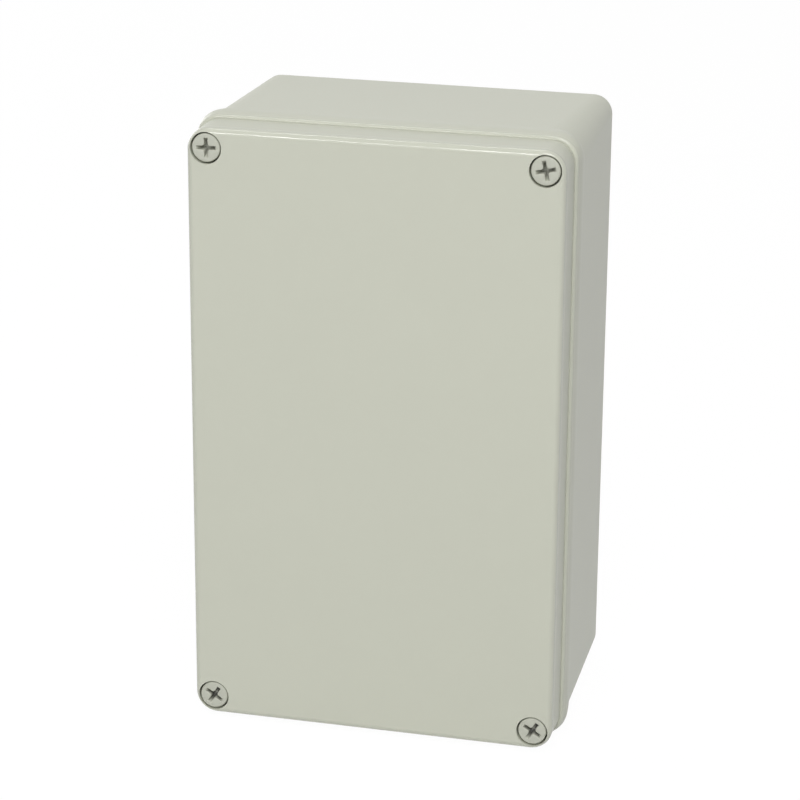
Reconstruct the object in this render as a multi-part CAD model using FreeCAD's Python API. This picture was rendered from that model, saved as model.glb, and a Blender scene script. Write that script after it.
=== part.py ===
"""Sealed plastic project box with a screwed lid.

Millimetres. X runs across the box, Y from the lid (front, -Y) to the wall side
(back, +Y), Z up. The box stands on its short end, centred on X and Y, with its
lowest point at Z = 0. Depths below are measured from the front face of the lid.
"""
import FreeCAD, Part
import math
import os

V = FreeCAD.Vector

# Outer form
lid_width = 120.0
lid_height = 198.4
box_depth = 83.4
lid_depth = 14.0
face_radius = 7.1
face_edge_radius = 2.0
waist_depth = 4.0
waist_inset = 0.06
rim_rise = 0.8
rim_edge_radius = 1.0
rim_radius = 7.2
collar_rise = 1.6
collar_depth = 18.8
collar_radius = 7.7
body_rise = 1.2
body_depth = 26.0
body_radius = 10.4
back_setback = 0.65
back_radius = 6.2
back_edge_radius = 1.2
# How far along the collar's swell, and how much of its rise is reached there
collar_curve = ((0.5, 0.75), (1.0, 1.0))
# The same for the fall behind it
fall_curve = ((0.45, 0.4), (1.0, 1.0))

# Walls and the joint between lid and base
face_thickness = 2.8
floor_thickness = 3.2
rim_width = 3.5
cavity_draft = 0.8
cavity_corner_radius = 2.0
parting_gap = 0.2
groove_depth = 4.4
groove_width = 1.8
inner_lip = 0.75
tongue_width = 1.5
tongue_height = 2.4
gasket_thickness = 2.1
gasket_clearance = 0.05

# Corner blocks, which hold the lid screws and the wall holes outside the seal
block_width = 28.0
block_height = 14.2
block_radius = 5.0
screw_inset = 6.36
wall_hole_pitch = 13.14
wall_hole_radius = 2.25
wall_hole_seat = 6.0
well_radius = 4.2

# Lid screws, each held in the lid by a split ring in a groove
head_radius = 4.6
head_height = 4.6
head_recess = 0.4
head_edge_radius = 0.5
head_bore_radius = 5.1
seat_thickness = 2.5
thread_end_depth = 30.0
shank_radius = 2.45
shank_hole_radius = 2.75
tip_length = 1.2
tip_radius = 1.6
cross_span = 6.4
cross_width = 1.3
cross_depth = 2.8
cross_taper = 1.4
ring_depth = 18.4
ring_thickness = 1.1
ring_radius = 3.7
ring_play = 0.05
ring_slot = 2.6
neck_radius = 1.9
cross_angles = {
    "top_left": -1.0,
    "top_right": -12.5,
    "bottom_left": 33.0,
    "bottom_right": 31.0,
}

# Threaded brass inserts
insert_depth = 20.0
insert_length = 8.0
insert_radius = 3.4
insert_bore_radius = 2.5
insert_waist_cut = 0.4
insert_waist_length = 0.8
core_hole_length = 6.0
core_hole_clearance = 0.2
plate_insert_length = 7.0
plate_insert_radius = 2.8
plate_insert_bore_radius = 2.0

# Bosses on the floor for a mounting plate, and slots for circuit boards
boss_radius = 4.6
boss_height = 10.0
boss_inset_x = 14.0
boss_inset_z = 25.2
boss_foot_radius = 1.5
guide_gap = 2.0
guide_width = 1.4
guide_rise = 1.4
guide_setback = 4.0
guide_positions = (-54.0, -27.0, 27.0, 54.0)

# How far a fused form reaches into its neighbour, and a cut past its surface
overlap = 1.0

half_width = lid_width / 2
half_height = lid_height / 2
centre_z = half_height + collar_rise
front_y = -box_depth / 2
base_front = lid_depth + parting_gap
floor_depth = box_depth - floor_thickness
boss_top = floor_depth - boss_height
screw_x = half_width - screw_inset
screw_z = half_height - screw_inset
wall_hole_x = screw_x - wall_hole_pitch
boss_x = half_width - boss_inset_x
boss_z = half_height - boss_inset_z
head_seat = head_recess + head_height
wall_x = half_width - rim_width
wall_z = half_height - rim_width
corners = {
    "top_left": (-1, 1),
    "top_right": (1, 1),
    "bottom_left": (-1, -1),
    "bottom_right": (1, -1),
}


def place(x, depth, z):
    """A point given across the box, into it and up from its middle."""
    return V(x, front_y + depth, centre_z + z)


def between(start, end, share):
    """The value that lies the given share of the way from start to end."""
    return start + (end - start) * share


def rounded_wire(points, radii, depth):
    """A closed outline with each corner rounded by its own radius."""
    spots = [place(x, depth, z) for x, z in points]
    count = len(spots)
    arcs = []
    for i, spot in enumerate(spots):
        to_last = (spots[i - 1] - spot).normalize()
        to_next = (spots[(i + 1) % count] - spot).normalize()
        half_angle = to_last.getAngle(to_next) / 2
        reach = radii[i] / math.tan(half_angle)
        inward = (to_last + to_next).normalize()
        middle = spot + inward * (radii[i] / math.sin(half_angle) - radii[i])
        arcs.append((spot + to_last * reach, middle, spot + to_next * reach))
    edges = []
    for i, (start, middle, end) in enumerate(arcs):
        edges.append(Part.Arc(start, middle, end).toShape())
        edges.append(Part.LineSegment(end, arcs[(i + 1) % count][0]).toShape())
    return Part.Wire(edges)


def outline(rise, radius, depth):
    """The lid's outline, moved outwards by rise."""
    x = half_width + rise
    z = half_height + rise
    return rounded_wire([(x, z), (-x, z), (-x, -z), (x, -z)], [radius] * 4, depth)


def swept(start, end, curve):
    """Outlines from start to end, each (rise, radius, depth), along a curve."""
    sections = [outline(*start)]
    for along, risen in curve:
        rise = between(start[0], end[0], risen)
        radius = between(start[1], end[1], risen)
        depth = between(start[2], end[2], along)
        sections.append(outline(rise, radius, depth))
    return sections


def seal_outline(grow, depth):
    """The cavity's outline, which steps in round the four corner blocks."""
    x = wall_x + grow
    z = wall_z + grow
    step_x = half_width - block_width + grow
    step_z = half_height - block_height + grow
    corner = cavity_corner_radius + grow
    block = block_radius - grow
    points = []
    radii = []
    for side_x, side_z in ((1, 1), (-1, 1), (-1, -1), (1, -1)):
        steps = [(x, step_z), (step_x, step_z), (step_x, z)]
        if side_x * side_z < 0:
            steps.reverse()
        points += [(side_x * px, side_z * pz) for px, pz in steps]
        radii += [corner, block, corner]
    return rounded_wire(points, radii, depth)


def prism(wire, length):
    """A solid of the wire's outline that reaches length further in."""
    return Part.Face(wire).extrude(V(0, length, 0))


def band(inner_grow, outer_grow, depth, length):
    """A closed band along the seal, such as its tongue or groove."""
    outer = prism(seal_outline(outer_grow, depth), length)
    return outer.cut(prism(seal_outline(inner_grow, depth), length))


def rod(x, z, radius, depth, length):
    """A cylinder that runs into the box."""
    return Part.makeCylinder(radius, length, place(x, depth, z), V(0, 1, 0))


def turned(profile, x, z):
    """A solid turned about an axis into the box, from (radius, depth) points."""
    points = [place(x + radius, depth, z) for radius, depth in profile]
    face = Part.Face(Part.makePolygon(points + points[:1]))
    return face.revolve(place(x, 0, z), V(0, 1, 0), 360)


def block(width, length, height, x, depth, z):
    """A box centred across and up, from the given depth inwards."""
    corner = place(x - width / 2, depth, z - height / 2)
    return Part.makeBox(width, length, height, corner)


def edges_at(shape, depth):
    """The shape's edges that lie at one depth."""
    y = front_y + depth
    return [e for e in shape.Edges if all(abs(v.Point.y - y) < 1e-6 for v in e.Vertexes)]


def make_lid():
    waist = outline(-waist_inset, face_radius, waist_depth)
    front = Part.makeLoft([outline(0, face_radius, 0), waist], True, True)
    front = front.makeFillet(face_edge_radius, edges_at(front, 0))
    wall = Part.makeLoft([waist, outline(0, face_radius, lid_depth)], True, True)
    lid = front.fuse(wall)
    groove = band(inner_lip, inner_lip + groove_width, lid_depth - groove_depth, lid_depth)
    cuts = [prism(seal_outline(0, face_thickness), lid_depth), groove]
    for side_x, side_z in corners.values():
        x = side_x * screw_x
        z = side_z * screw_z
        cuts.append(rod(x, z, head_bore_radius, -overlap, head_seat + overlap))
        cuts.append(rod(x, z, shank_hole_radius, 0, lid_depth))
        cuts.append(rod(x, z, well_radius, head_seat + seat_thickness, lid_depth))
        cuts.append(rod(side_x * wall_hole_x, z, well_radius, face_thickness, lid_depth))
    return lid.cut(cuts).removeSplitter()


def make_shell():
    """The base's outside, filled: rim, collar, and walls down to the floor.

    The rim steps out past the lid's side, and its front edge is rounded.
    """
    rim = (rim_rise, rim_radius, base_front)
    crest = (collar_rise, collar_radius, collar_depth)
    shoulder = (body_rise, body_radius, body_depth)
    sections = swept(rim, crest, collar_curve) + swept(crest, shoulder, fall_curve)[1:]
    collar = Part.makeLoft(sections, True, False)
    collar = collar.makeFillet(rim_edge_radius, edges_at(collar, base_front))
    back = outline(-back_setback, back_radius, box_depth)
    body = Part.makeLoft([outline(*shoulder), back], True, True)
    body = body.makeFillet(back_edge_radius, edges_at(body, box_depth))
    return collar.fuse(body)


def make_boss(x, z):
    foot_radius = boss_radius + boss_foot_radius
    foot_top = floor_depth - boss_foot_radius
    profile = [
        (0, boss_top),
        (boss_radius, boss_top),
        (boss_radius, foot_top),
        (foot_radius, floor_depth),
        (foot_radius, floor_depth + overlap),
        (0, floor_depth + overlap),
    ]
    return turned(profile, x, z)


def make_guides():
    """Pairs of ribs down the side walls, each pair a slot for a circuit board."""
    width = guide_rise + cavity_draft + overlap
    start = base_front + guide_setback
    length = floor_depth + overlap - start
    ribs = []
    for side in (-1, 1):
        x = side * (wall_x + overlap - width / 2)
        for z in guide_positions:
            for step in (-1, 1):
                offset = step * (guide_gap + guide_width) / 2
                ribs.append(block(width, length, guide_width, x, start, z + offset))
    return ribs


def make_base():
    cavity = Part.makeLoft(
        [seal_outline(0, base_front), seal_outline(-cavity_draft, floor_depth)], True, True)
    tongue_inner = inner_lip + (groove_width - tongue_width) / 2
    tongue_front = base_front - tongue_height
    tongue = band(tongue_inner, tongue_inner + tongue_width, tongue_front, tongue_height + overlap)
    adds = [tongue] + make_guides()
    cuts = []
    for side_x, side_z in corners.values():
        x = side_x * screw_x
        z = side_z * screw_z
        core_radius = insert_bore_radius + core_hole_clearance
        core_depth = insert_depth + insert_length
        cuts.append(rod(x, z, well_radius, 0, insert_depth))
        cuts.append(rod(x, z, insert_radius, insert_depth, insert_length))
        cuts.append(rod(x, z, core_radius, core_depth, core_hole_length))
        hole_x = side_x * wall_hole_x
        cuts.append(rod(hole_x, z, well_radius, 0, box_depth - wall_hole_seat))
        cuts.append(rod(hole_x, z, wall_hole_radius, 0, box_depth + overlap))
        plate_x = side_x * boss_x
        plate_z = side_z * boss_z
        adds.append(make_boss(plate_x, plate_z))
        socket = plate_insert_length + overlap
        cuts.append(rod(plate_x, plate_z, plate_insert_radius, boss_top - overlap, socket))
        cuts.append(rod(plate_x, plate_z, plate_insert_bore_radius, boss_top, boss_height))
    base = make_shell().cut(cavity).fuse(adds)
    return base.cut(cuts).removeSplitter()


def make_gasket():
    start = lid_depth - groove_depth
    inner = inner_lip + gasket_clearance
    outer = inner_lip + groove_width - gasket_clearance
    return band(inner, outer, start, gasket_thickness)


def make_screw(corner):
    side_x, side_z = corners[corner]
    x = side_x * screw_x
    z = side_z * screw_z
    groove_end = ring_depth + ring_thickness + 2 * ring_play
    profile = [
        (0, head_recess),
        (head_radius, head_recess),
        (head_radius, head_seat),
        (shank_radius, head_seat),
        (shank_radius, ring_depth),
        (neck_radius, ring_depth),
        (neck_radius, groove_end),
        (shank_radius, groove_end),
        (shank_radius, thread_end_depth - tip_length),
        (tip_radius, thread_end_depth),
        (0, thread_end_depth),
    ]
    screw = turned(profile, x, z)
    screw = screw.makeFillet(head_edge_radius, edges_at(screw, head_recess))
    half_top = cross_span / 2
    half_low = half_top - cross_taper
    low = head_recess + cross_depth
    side = z - cross_width / 2
    for turn in (0, 90):
        points = [
            place(x - half_top, head_recess - overlap, side),
            place(x + half_top, head_recess - overlap, side),
            place(x + half_top, head_recess, side),
            place(x + half_low, low, side),
            place(x - half_low, low, side),
            place(x - half_top, head_recess, side),
        ]
        wing = Part.Face(Part.makePolygon(points + points[:1])).extrude(V(0, 0, cross_width))
        wing.rotate(place(x, 0, z), V(0, 1, 0), turn + cross_angles[corner])
        screw = screw.cut(wing)
    return screw


def make_ring(corner):
    side_x, side_z = corners[corner]
    x = side_x * screw_x
    z = side_z * screw_z
    depth = ring_depth + ring_play
    ring = rod(x, z, ring_radius, depth, ring_thickness)
    ring = ring.cut(rod(x, z, neck_radius + ring_play, depth, ring_thickness))
    return ring.cut(block(ring_slot, ring_thickness, ring_radius, x, depth, z - ring_radius / 2))


def make_insert(x, z, depth, length, radius, bore):
    """A turned insert with a waist half way along, where the plastic grips it."""
    waist = radius - insert_waist_cut
    middle = depth + length / 2
    half_waist = insert_waist_length / 2
    half_cut = half_waist + insert_waist_cut
    profile = [
        (bore, depth),
        (radius, depth),
        (radius, middle - half_cut),
        (waist, middle - half_waist),
        (waist, middle + half_waist),
        (radius, middle + half_cut),
        (radius, depth + length),
        (bore, depth + length),
    ]
    return turned(profile, x, z)


os.makedirs("parts", exist_ok=True)
make_lid().exportStep("parts/lid.step")
make_base().exportStep("parts/base.step")
make_gasket().exportStep("parts/gasket.step")
for name, (across, up) in corners.items():
    make_screw(name).exportStep(f"parts/lid_screw_{name}.step")
    make_ring(name).exportStep(f"parts/screw_ring_{name}.step")
    lid_insert = make_insert(across * screw_x, up * screw_z, insert_depth, insert_length,
                             insert_radius, insert_bore_radius)
    lid_insert.exportStep(f"parts/lid_insert_{name}.step")
    plate_insert = make_insert(across * boss_x, up * boss_z, boss_top,
                               plate_insert_length, plate_insert_radius, plate_insert_bore_radius)
    plate_insert.exportStep(f"parts/plate_insert_{name}.step")
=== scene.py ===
import bmesh
import bpy
import math
from mathutils import Matrix, Vector


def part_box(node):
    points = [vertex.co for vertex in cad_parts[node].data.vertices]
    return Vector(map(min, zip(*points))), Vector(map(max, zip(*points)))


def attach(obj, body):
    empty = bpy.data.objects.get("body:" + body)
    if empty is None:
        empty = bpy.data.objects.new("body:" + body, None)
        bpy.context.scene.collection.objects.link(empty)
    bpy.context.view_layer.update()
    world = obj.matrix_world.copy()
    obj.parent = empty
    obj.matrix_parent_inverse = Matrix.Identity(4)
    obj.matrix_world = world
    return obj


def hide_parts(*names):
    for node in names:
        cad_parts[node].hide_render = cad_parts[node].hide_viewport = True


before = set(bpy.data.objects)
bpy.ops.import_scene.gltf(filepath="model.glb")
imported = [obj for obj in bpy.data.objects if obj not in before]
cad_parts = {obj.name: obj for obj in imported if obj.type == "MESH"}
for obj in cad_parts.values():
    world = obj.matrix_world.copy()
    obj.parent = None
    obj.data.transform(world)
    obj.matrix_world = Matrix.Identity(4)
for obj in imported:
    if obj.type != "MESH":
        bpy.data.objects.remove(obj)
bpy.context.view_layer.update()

# Camera
# A long lens in front of the box and above it, turned to show its right side too. It looks down
# by 19 degrees.
camera_data = bpy.data.cameras.new("camera")
camera_data.sensor_width = 36.0
camera_data.lens = 127.82
camera = bpy.data.objects.new("camera", camera_data)
stand = Vector((0.213012, -0.858228, 0.405873))
right = Vector((0.969573, 0.244696, 0.007188))
up = Vector((-0.086055, 0.313197, 0.945781))
back = right.cross(up)
camera.matrix_world = Matrix((
    (right.x, up.x, back.x, stand.x),
    (right.y, up.y, back.y, stand.y),
    (right.z, up.z, back.z, stand.z),
    (0, 0, 0, 1),
))
bpy.context.scene.collection.objects.link(camera)
bpy.context.scene.camera = camera
bpy.context.scene.view_settings.view_transform = "Standard"

# Studio
# A table and a sky that the camera and the gloss of the plastic see as white. The sky itself is
# dim, and the pale table throws some of the lamps' light back up at the box.
white = (1, 1, 1, 1)
sky_light = 0.15
table_reach = 3
table_drop = 0.0002
table_tone = (0.80, 0.80, 0.80, 1)
table_roughness = 0.9
table_glow = 1.03
table_share = 0.94


def wire(tree, kind, values, operation=None):
    """Adds a node and feeds its inputs, in order or by name, from sockets or plain values."""
    node = tree.nodes.new(kind)
    if operation:
        node.operation = operation
    pairs = values.items() if isinstance(values, dict) else enumerate(values)
    for key, value in pairs:
        if isinstance(value, bpy.types.NodeSocket):
            tree.links.new(value, node.inputs[key])
        else:
            node.inputs[key].default_value = value
    return node


def plain_to_camera(tree, lit, plain, share, output):
    """Shows a share of a plain shader to the camera, in gloss and in glass. The light stays."""
    path = tree.nodes.new("ShaderNodeLightPath").outputs
    rays = path["Is Camera Ray"]
    for name in ("Is Glossy Ray", "Is Transmission Ray"):
        rays = wire(tree, "ShaderNodeMath", (rays, path[name]), "MAXIMUM").outputs[0]
    shown = wire(tree, "ShaderNodeMath", (rays, share), "MULTIPLY").outputs[0]
    choose = wire(tree, "ShaderNodeMixShader", (shown, lit.outputs[0], plain.outputs[0]))
    tree.links.new(choose.outputs[0], output.inputs["Surface"])


world = bpy.data.worlds.new("sky")
world.use_nodes = True
bpy.context.scene.world = world
sky = world.node_tree.nodes["Background"]
sky.inputs["Color"].default_value = white
sky.inputs["Strength"].default_value = sky_light
plain_sky = wire(world.node_tree, "ShaderNodeBackground", {"Color": white, "Strength": 1.0})
plain_to_camera(world.node_tree, sky, plain_sky, 1.0, world.node_tree.nodes["World Output"])

table_mesh = bpy.data.meshes.new("table")
table_mesh.from_pydata([(x * table_reach, y * table_reach, -table_drop)
                        for x, y in ((-1, -1), (1, -1), (1, 1), (-1, 1))], [], [(0, 1, 2, 3)])
table = bpy.data.objects.new("table", table_mesh)
bpy.context.scene.collection.objects.link(table)
paper = bpy.data.materials.new("table_paper")
paper.use_nodes = True
shader = paper.node_tree.nodes["Principled BSDF"]
shader.inputs["Base Color"].default_value = table_tone
shader.inputs["Roughness"].default_value = table_roughness
glow = wire(paper.node_tree, "ShaderNodeEmission", {"Color": white, "Strength": table_glow})
plain_to_camera(paper.node_tree, shader, glow, table_share,
                paper.node_tree.nodes["Material Output"])
table_mesh.materials.append(paper)

# Lamps
# A tall panel in front, above and to the right gives most of the light, and a low one behind to
# the left fills the hidden sides. Two strips draw the two bright lines along the lid's edge.
middle = Vector((0, 0, 0.1))
for name, toward, distance, wide, tall, power in (
    ("panel_behind", (-0.80, 0.59, 0.11), 1.80, 1.20, 1.20, 9.0),
    ("panel_front", (0.22, -0.615, 0.757), 2.20, 1.10, 2.00, 32.8),
    ("strip_front", (-0.21, -0.845, 0.498), 1.15, 0.55, 0.10, 2.3),
    ("strip_above", (-0.21, 0.246, 0.946), 1.05, 0.55, 0.10, 1.2),
):
    data = bpy.data.lights.new(name, "AREA")
    data.shape = "RECTANGLE"
    data.size = wide
    data.size_y = tall
    data.energy = power
    lamp = bpy.data.objects.new(name, data)
    lamp.location = middle + Vector(toward) * distance
    lamp.rotation_euler = (-Vector(toward)).to_track_quat("-Z", "Y").to_euler()
    bpy.context.scene.collection.objects.link(lamp)

# Base moulding
# The deep half of the box, moulded in one piece of light grey plastic. The rounded front edge of
# its rim comes out of the mould polished, and the walls behind it satin, with hardly any grain.
mm = 0.001
front_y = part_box("lid")[0].y
plastic_grey = (0.578, 0.590, 0.497)
satin_gain = 4.0
satin_least = 0.24
polish_fades_over = 0.5


def open_sockets(tree, way, kinds):
    """Gives a node group its inputs or outputs, from their names and kinds."""
    for name, kind in kinds.items():
        tree.interface.new_socket(name, in_out=way, socket_type="NodeSocket" + kind)


def worked_surface():
    """A slow change of tone and a fine grain in gloss and relief, shared by the materials."""
    tree = bpy.data.node_groups.new("worked_surface", "ShaderNodeTree")
    open_sockets(tree, "INPUT", {"Color": "Color", "Tone": "Float", "Grain Scale": "Float",
                                 "Grain Depth": "Float", "Smoothest": "Float",
                                 "Roughest": "Float"})
    open_sockets(tree, "OUTPUT", {"Color": "Color", "Roughness": "Float", "Normal": "Vector"})
    given = tree.nodes.new("NodeGroupInput").outputs
    result = tree.nodes.new("NodeGroupOutput").inputs
    spot = tree.nodes.new("ShaderNodeTexCoord").outputs["Object"]
    slow = wire(tree, "ShaderNodeTexNoise", {"Vector": spot, "Scale": 24}).outputs[0]
    fine = wire(tree, "ShaderNodeTexNoise", {
        "Vector": spot, "Scale": given["Grain Scale"], "Detail": 3}).outputs[0]
    shift = wire(tree, "ShaderNodeMath", (slow, 0.5), "SUBTRACT").outputs[0]
    scale = wire(tree, "ShaderNodeMath", (shift, given["Tone"], 1.0), "MULTIPLY_ADD").outputs[0]
    tint = wire(tree, "ShaderNodeVectorMath", {"Vector": given["Color"], "Scale": scale}, "SCALE")
    gloss = wire(tree, "ShaderNodeMapRange", {
        "Value": fine, "From Min": 0.3, "From Max": 0.7, "To Min": given["Smoothest"],
        "To Max": given["Roughest"]})
    bump = wire(tree, "ShaderNodeBump", {
        "Strength": given["Grain Depth"], "Distance": 0.0001, "Height": fine})
    tree.links.new(tint.outputs[0], result["Color"])
    tree.links.new(gloss.outputs[0], result["Roughness"])
    tree.links.new(bump.outputs[0], result["Normal"])
    return tree


surface = worked_surface()


def finish_of(name, color, tone, grain_scale, grain_depth, smoothest, roughest):
    """A material with the shared surface and its own colour, grain and gloss."""
    made = bpy.data.materials.new(name)
    made.use_nodes = True
    shader = made.node_tree.nodes["Principled BSDF"]
    group = made.node_tree.nodes.new("ShaderNodeGroup")
    group.node_tree = surface
    for socket, value in (("Color", (*color, 1)), ("Tone", tone), ("Grain Scale", grain_scale),
                          ("Grain Depth", grain_depth), ("Smoothest", smoothest),
                          ("Roughest", roughest)):
        group.inputs[socket].default_value = value
    for socket, target in (("Color", "Base Color"), ("Roughness", "Roughness"),
                           ("Normal", "Normal")):
        made.node_tree.links.new(group.outputs[socket], shader.inputs[target])
    return made, shader


def dress(node, material):
    """Gives a solid of the frame its material."""
    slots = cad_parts[node].data.materials
    slots.clear()
    slots.append(material)


def box_plastic(name, polished_depth):
    """The box's plastic, polished down to a depth behind the lid's face and satin beyond."""
    made, shader = finish_of(name, color=plastic_grey, tone=0.02, grain_scale=1800,
                             grain_depth=0.05, smoothest=0.035, roughest=0.05)
    tree = made.node_tree
    spot = tree.nodes.new("ShaderNodeTexCoord").outputs["Object"]
    depth = wire(tree, "ShaderNodeSeparateXYZ", (spot,)).outputs["Y"]
    polish = shader.inputs["Roughness"].links[0].from_socket
    satin = wire(tree, "ShaderNodeMath", (polish, satin_gain, satin_least), "MULTIPLY_ADD")
    start = front_y + polished_depth * mm
    gloss = wire(tree, "ShaderNodeMapRange", {
        "Value": depth, "From Min": start, "From Max": start + polish_fades_over * mm,
        "To Min": polish, "To Max": satin.outputs[0]})
    tree.links.new(gloss.outputs[0], shader.inputs["Roughness"])
    return made


dress("base", box_plastic("base_grey_plastic", polished_depth=15.0))

# Lid moulding
# The shallow half, of the same plastic. The mould is polished where it makes the lid's face and
# the round of its edge, and the lid's sides are drawn out of it as satin as the base's.
dress("lid", box_plastic("lid_grey_plastic", polished_depth=2.1))

# Gasket
# A black foam rubber cord that lies in the lid's groove, with the open cells of cut foam. It
# runs round the whole seal.
foam_rubber, _ = finish_of("black_foam_rubber", color=(0.024, 0.024, 0.025), tone=0.5,
                           grain_scale=1400, grain_depth=1.0, smoothest=0.7, roughest=0.95)
dress("gasket", foam_rubber)

# Lid screws
# Screws moulded in lighter grey polyamide, with a cross recess whose wings slope down to the
# middle. Each was left at its own angle, has its own amount of painted shade in its recess, and
# runs in a brass insert.
pitch = 0.8
thread_height = 0.40
sharp_edge = 38
corner_turns = {"top_left": -1.0, "top_right": -12.5, "bottom_left": 33.0, "bottom_right": 31.0}
# How strong the painted shade in each screw's recess is.
recess_shade_per_screw = {"top_left": 0.4, "top_right": 0.5, "bottom_left": 1.0, "bottom_right": 1.0}


def turned_part():
    """Cuts a thread and a knurl into a turned blank, then sets it in its place."""
    tree = bpy.data.node_groups.new("turned_part", "GeometryNodeTree")
    open_sockets(tree, "INPUT", {"Blank": "Geometry", "Turn": "Float", "Pitch": "Float",
                                 "Thread Height": "Float", "Knurl Count": "Float",
                                 "Knurl Lead": "Float", "Knurl Depth": "Float",
                                 "Place": "Vector", "Finish": "Material"})
    open_sockets(tree, "OUTPUT", {"Part": "Geometry"})
    given = tree.nodes.new("NodeGroupInput").outputs

    def calc(operation, *values):
        return wire(tree, "ShaderNodeMath", values, operation).outputs[0]

    def weight(name):
        node = wire(tree, "GeometryNodeInputNamedAttribute", {"Name": name})
        node.data_type = "FLOAT"
        return node.outputs["Attribute"]

    def wave(turns):
        """Falls from 1 to 0 and rises again over each whole turn."""
        return calc("ABSOLUTE", calc("MULTIPLY_ADD", calc("FRACT", turns), 2.0, -1.0))

    def profile(height, gain, start):
        """Makes the flanks of a wave steeper and cuts it off flat at 0 and 1."""
        steep = calc("MULTIPLY_ADD", height, gain, start)
        return wire(tree, "ShaderNodeClamp", (steep, 0.0, 1.0)).outputs[0]

    spot = tree.nodes.new("GeometryNodeInputPosition").outputs[0]
    x, depth, z = wire(tree, "ShaderNodeSeparateXYZ", (spot,)).outputs
    angle = calc("ARCTAN2", z, x)
    around = calc("DIVIDE", calc("SUBTRACT", angle, given["Turn"]), 2 * math.pi)
    helix = calc("ADD", around, calc("DIVIDE", depth, given["Pitch"]))
    valley = profile(wave(helix), gain=1.5, start=-0.25)
    thread = calc("MULTIPLY", calc("MULTIPLY", valley, given["Thread Height"]), weight("thread"))
    ridges = calc("MULTIPLY", calc("DIVIDE", angle, 2 * math.pi), given["Knurl Count"])
    climb = calc("DIVIDE", depth, given["Knurl Lead"])
    diamond = calc("MAXIMUM", wave(calc("ADD", ridges, climb)),
                   wave(calc("SUBTRACT", ridges, climb)))
    groove = profile(diamond, gain=2.5, start=-1.5)
    knurl = calc("MULTIPLY", calc("MULTIPLY", groove, given["Knurl Depth"]), weight("knurl"))
    flat = wire(tree, "ShaderNodeCombineXYZ", (x, 0.0, z)).outputs[0]
    outward = wire(tree, "ShaderNodeVectorMath", (flat,), "NORMALIZE").outputs[0]
    inward = calc("MULTIPLY", calc("ADD", thread, knurl), -1.0)
    sink = wire(tree, "ShaderNodeVectorMath", {"Vector": outward, "Scale": inward}, "SCALE")
    cut = wire(tree, "GeometryNodeSetPosition", {
        "Geometry": given["Blank"], "Offset": sink.outputs[0]})
    point = wire(tree, "GeometryNodePoints", {"Count": 1, "Position": given["Place"]})
    turning = wire(tree, "ShaderNodeCombineXYZ", (0.0, given["Turn"], 0.0))
    setting = wire(tree, "GeometryNodeInstanceOnPoints", {
        "Points": point.outputs[0], "Instance": cut.outputs[0], "Rotation": turning.outputs[0]})
    real = wire(tree, "GeometryNodeRealizeInstances", (setting.outputs[0],))
    dressed = wire(tree, "GeometryNodeSetMaterial", {
        "Geometry": real.outputs[0], "Material": given["Finish"]})
    tree.links.new(dressed.outputs[0], tree.nodes.new("NodeGroupOutput").inputs[0])
    return tree


turning_tree = turned_part()


def blank_mesh(name, rings, closed):
    """A blank from rings of like point counts: (points, depth, thread, knurl, painted recess
    shade if any).
    """
    shape = bmesh.new()
    names = ("thread", "knurl", "recess_shade")[:max(len(ring) for ring in rings) - 2]
    layers = [shape.verts.layers.float.new(key) for key in names]
    made = []
    for points, depth, *weights in rings:
        ring = [shape.verts.new((u * mm, depth * mm, v * mm)) for u, v in points]
        for vert in ring:
            for layer, value in zip(layers, weights):
                vert[layer] = value
        made.append(ring)
    pairs = list(zip(made, made[1:])) + ([(made[-1], made[0])] if closed else [])
    for one, other in pairs:
        for i in range(len(one)):
            j = (i + 1) % len(one)
            shape.faces.new((one[i], one[j], other[j], other[i]))
    if not closed:
        for ring in (made[0], made[-1]):
            centre = shape.verts.new(sum((v.co for v in ring), Vector()) / len(ring))
            for i in range(len(ring)):
                shape.faces.new((ring[i], ring[(i + 1) % len(ring)], centre))
    bmesh.ops.recalc_face_normals(shape, faces=shape.faces)
    mesh = bpy.data.meshes.new(name)
    shape.to_mesh(mesh)
    shape.free()
    return mesh


def set_in_place(name, blank, place, turn, finish, **sizes):
    """Runs the turning tree on a blank and returns the part as a plain mesh object."""
    holder = bpy.data.objects.new(name + "_blank", blank)
    bpy.context.scene.collection.objects.link(holder)
    modifier = holder.modifiers.new("turning", "NODES")
    modifier.node_group = turning_tree
    values = {"Turn": math.radians(turn), "Pitch": pitch * mm, "Place": place, "Finish": finish,
              "Thread Height": thread_height * mm, "Knurl Count": 1.0, "Knurl Lead": 1.0,
              "Knurl Depth": 0.0, **sizes}
    for item in turning_tree.interface.items_tree:
        if item.in_out == "INPUT" and item.name in values:
            modifier[item.identifier] = values[item.name]
    shown = holder.evaluated_get(bpy.context.evaluated_depsgraph_get())
    mesh = bpy.data.meshes.new_from_object(shown)
    bpy.data.objects.remove(holder)
    for key in ("thread", "knurl"):
        mesh.attributes.remove(mesh.attributes[key])
    mesh.shade_smooth()
    mesh.set_sharp_from_angle(angle=math.radians(sharp_edge))
    piece = bpy.data.objects.new(name, mesh)
    bpy.context.scene.collection.objects.link(piece)
    return piece


def cross_outline(half_span, half_width, round_in):
    """The recess's outline at one depth, 72 points, with rounded inner corners."""
    steps = 3
    octant = [(half_span, half_width * i / steps) for i in range(steps)]
    inner = half_width + round_in
    octant += [(half_span + (inner - half_span) * i / steps, half_width) for i in range(steps)]
    for i in range(steps):
        turn = math.radians(270 - 45 / steps * i)
        octant.append((inner + round_in * math.cos(turn), inner + round_in * math.sin(turn)))
    corner = inner - round_in * math.sqrt(0.5)
    quarter = octant + [(corner, corner)] + [(v, u) for u, v in reversed(octant[1:])]
    points = []
    for c, s in ((1, 0), (0, 1), (-1, 0), (0, -1)):
        points += [(u * c - v * s, u * s + v * c) for u, v in quarter]
    return points


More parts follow.
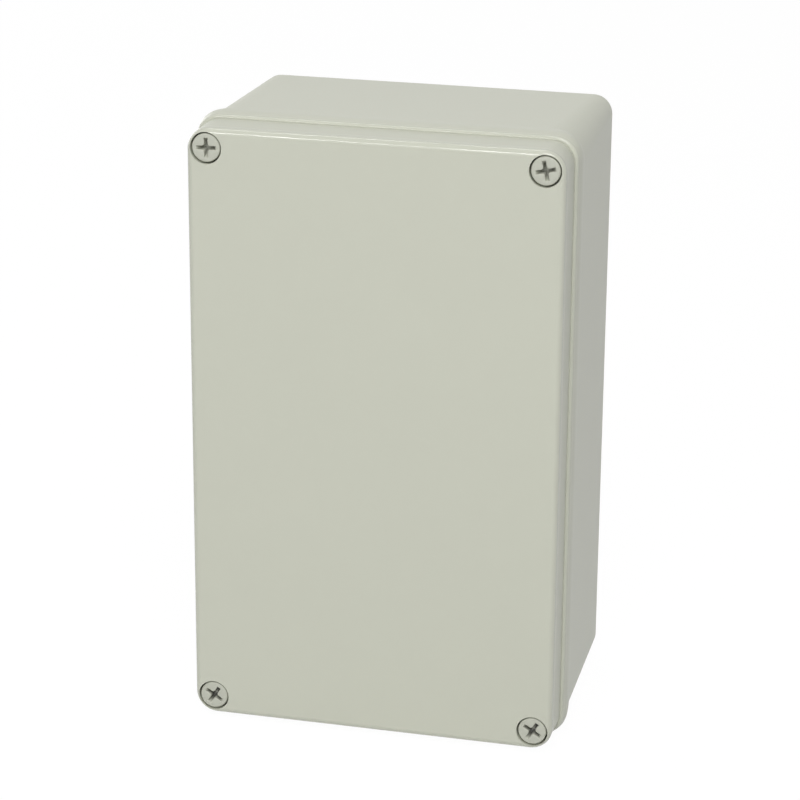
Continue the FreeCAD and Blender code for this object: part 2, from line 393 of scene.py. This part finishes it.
low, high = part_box("lid_screw_top_right")
head_radius = (high.x - low.x) / 2 / mm
head_top = (low.y - front_y) / mm
screw_end = (high.y - front_y) / mm
head_seat = 5.0
air_at_seat = 0.02
head_foot = head_seat - air_at_seat
head_edge = 0.5
head_edge_steps = 4
foot_chamfer = 0.15
shank = 2.45
shank_flare = 0.3
neck = 1.9
neck_start = 18.4
neck_end = 19.6
thread_steps = 84
thread_run_in = 8
tip_length = 1.2
tip_shoulder = 2.0
tip_radius = 1.6
thread_stop = screw_end - tip_length
recess_mouth = (3.15, 0.62, 0.75)
bearing = [math.atan2(v, u) for u, v in cross_outline(*recess_mouth)]


def circle(radius):
    """A circle whose points stand at the bearings of the recess's points."""
    return [(radius * math.cos(a), radius * math.sin(a)) for a in bearing]


# The recess from its bottom up: half span, half width and inner round, then depth and painted
# shade.
rings = []
for *outline, depth, shade_weight in (
    (1.10, 0.34, 0.25, 2.95, 1.0),
    (1.80, 0.50, 0.45, 2.75, 1.0),
    (2.47, 0.56, 0.60, 1.45, 0.5),
    (*recess_mouth, 0.14, 0.0),
    (3.24, 0.75, 0.50, 0.03, 0.0),
    (3.36, 0.87, 0.45, 0.00, 0.0),
):
    rings.append((cross_outline(*outline), head_top + depth, 0, 0, shade_weight))
for i in range(head_edge_steps + 1):
    a = math.radians(90 / head_edge_steps * i)
    rings.append((circle(head_radius - head_edge * (1 - math.sin(a))),
                  head_top + head_edge * (1 - math.cos(a)), 0, 0))
for radius, depth in (
    (head_radius, head_foot - foot_chamfer), (head_radius - foot_chamfer, head_foot),
    (shank + shank_flare, head_foot), (shank, head_foot + shank_flare), (shank, neck_start),
    (neck, neck_start), (neck, neck_end), (shank, neck_end),
):
    rings.append((circle(radius), depth, 0, 0))
for i in range(1, thread_steps + 1):
    depth = neck_end + (thread_stop - neck_end) * i / thread_steps
    rings.append((circle(shank), depth, min(1.0, i / thread_run_in), 0))
rings.append((circle(tip_shoulder), thread_stop + tip_length / 2, 0.5, 0))
rings.append((circle(tip_radius), screw_end, 0, 0))
screw_shape = blank_mesh("screw_shape", rings, False)

screw_plastic, shader = finish_of("screw_polyamide", color=(0.52, 0.53, 0.452), tone=0.05,
                                  grain_scale=2600, grain_depth=0.10, smoothest=0.28,
                                  roughest=0.4)
links = screw_plastic.node_tree.links
# Painted shade: this attribute darkens the screw's colour towards the floor of the recess, where
# shade falls.
recess_shade = screw_plastic.node_tree.nodes.new("ShaderNodeAttribute")
recess_shade.attribute_name = "recess_shade"
shaded_color_mix = screw_plastic.node_tree.nodes.new("ShaderNodeMix")
shaded_color_mix.data_type = "RGBA"
unshaded_color = shaded_color_mix.inputs[6]
shade_color = shaded_color_mix.inputs[7]
shade_color.default_value = (0.10, 0.10, 0.085, 1)
links.new(recess_shade.outputs["Fac"], shaded_color_mix.inputs["Factor"])
links.new(shader.inputs["Base Color"].links[0].from_socket, unshaded_color)
links.new(shaded_color_mix.outputs[2], shader.inputs["Base Color"])
for corner, turn in corner_turns.items():
    low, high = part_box("lid_screw_" + corner)
    place = Vector(((low.x + high.x) / 2, front_y, (low.z + high.z) / 2))
    screw = set_in_place("cross_screw_" + corner, screw_shape, place, turn, screw_plastic)
    # Each screw's painted recess shade is scaled by its own share.
    for point in screw.data.attributes["recess_shade"].data:
        point.value *= recess_shade_per_screw[corner]
    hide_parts("lid_screw_" + corner)
    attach(screw, "screw_" + corner)

# Retaining rings
# Split rings of natural polyamide, snapped into the screws' grooves from the side. They keep
# the screws in the lid when it is taken off.
ring_plastic, _ = finish_of("ring_polyamide", color=(0.72, 0.71, 0.64), tone=0.06,
                            grain_scale=2200, grain_depth=0.15, smoothest=0.35, roughest=0.5)
for corner in corner_turns:
    dress("screw_ring_" + corner, ring_plastic)

# Threaded inserts
# Turned brass bushes with a diamond knurl that the plastic grips, split by a waist. Four take
# the lid screws, and four smaller ones on the floor take a mounting plate.
brass, shader = finish_of("turned_brass", color=(0.78, 0.57, 0.27), tone=0.25,
                          grain_scale=3800, grain_depth=0.25, smoothest=0.22, roughest=0.38)
shader.inputs["Metallic"].default_value = 1.0
points_around = 72
steps_a_turn = 7
body_bands = 30
chamfer = 0.25
lead_in = 0.3
bore_run_in = 6
waist_cut = 0.4
waist_half = 0.8
waist_flank = 0.4
knurl_from_middle = 0.85
knurl_from_end = 0.4


def insert_shape(name, radius, bore, length):
    """A bush with chamfered ends, a waist and room for the thread, from its front face."""
    spread = [2 * math.pi * i / points_around for i in range(points_around)]

    def ring(size, depth, thread, knurl):
        return [(size * math.cos(a), size * math.sin(a)) for a in spread], depth, thread, knurl

    rings = []
    for i in range(body_bands + 1):
        depth = chamfer + (length - 2 * chamfer) * i / body_bands
        from_middle = abs(depth - length / 2)
        sunk = waist_cut * min(1.0, max(0.0, (waist_half - from_middle) / waist_flank))
        in_grip = knurl_from_end < depth < length - knurl_from_end
        grip = 1.0 if from_middle > knurl_from_middle and in_grip else 0.0
        rings.append(ring(radius - sunk, depth, 0, grip))
    rings.append(ring(radius - chamfer, length, 0, 0))
    rings.append(ring(bore + lead_in, length, 0, 0))
    steps = math.ceil(length / pitch * steps_a_turn)
    for i in range(steps + 1):
        depth = length - lead_in - (length - 2 * lead_in) * i / steps
        cut = min(1.0, i / bore_run_in, (steps - i) / bore_run_in)
        rings.append(ring(bore, depth, cut, 0))
    rings.append(ring(bore + lead_in, 0.0, 0, 0))
    rings.append(ring(radius - chamfer, 0.0, 0, 0))
    return blank_mesh(name, rings, True)


for kind, bore, thread_pitch, knurl_count in (("lid_insert_", 2.5, pitch, 26),
                                              ("plate_insert_", 2.0, 0.7, 22)):
    low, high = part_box(kind + "top_right")
    shape = insert_shape(kind + "shape", (high.x - low.x) / 2 / mm, bore, (high.y - low.y) / mm)
    for corner in corner_turns:
        low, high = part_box(kind + corner)
        place = Vector(((low.x + high.x) / 2, low.y, (low.z + high.z) / 2))
        bush = set_in_place("knurled_" + kind + corner, shape, place, 0.0, brass, **{
            "Pitch": thread_pitch * mm, "Knurl Count": float(knurl_count), "Knurl Lead": 1.1 * mm,
            "Knurl Depth": 0.16 * mm})
        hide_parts(kind + corner)
        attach(bush, "base")
